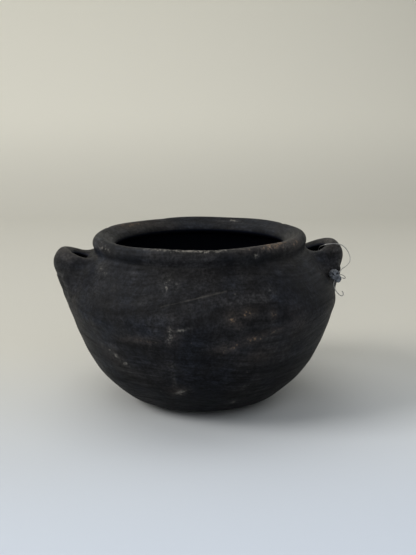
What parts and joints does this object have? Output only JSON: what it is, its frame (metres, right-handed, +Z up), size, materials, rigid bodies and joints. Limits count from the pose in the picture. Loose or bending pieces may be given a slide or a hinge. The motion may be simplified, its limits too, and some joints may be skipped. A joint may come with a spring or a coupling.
{
  "type": "clay cooking pot with ears",
  "caption": "Squat round-bellied clay cooking pot with a thick everted rim, loop ears on its shoulder and a small sealed wire tag hanging from an ear.",
  "frame": {"origin": "centre of the flat foot, on the surface that the pot stands on", "axes": "+Z up along the pot's turning axis, +X through the ear that carries the wire tag, the other ear on -X"},
  "size_m": [0.3023, 0.2732, 0.1715],
  "materials": {
    "smoked_clay": "matte",
    "iron_wire": "satin",
    "soft_lead": "matte"
  },
  "bodies": {
    "pot": {"lower_bowl": "smoked_clay", "shoulder_wall": "smoked_clay", "rim_collar": "smoked_clay", "left_ear": "smoked_clay", "right_ear": "smoked_clay"},
    "tag": {"tie_wire": "iron_wire", "lead_seal": "soft_lead"}
  },
  "joints": [
    {"name": "tag_swing", "type": "hinge", "parent": "pot", "child": "tag", "pos_m": [0.13759, -0.00904, 0.14531], "axis": [-0.4226, -0.9063, 0], "range_deg": [0, 10]}
  ]
}
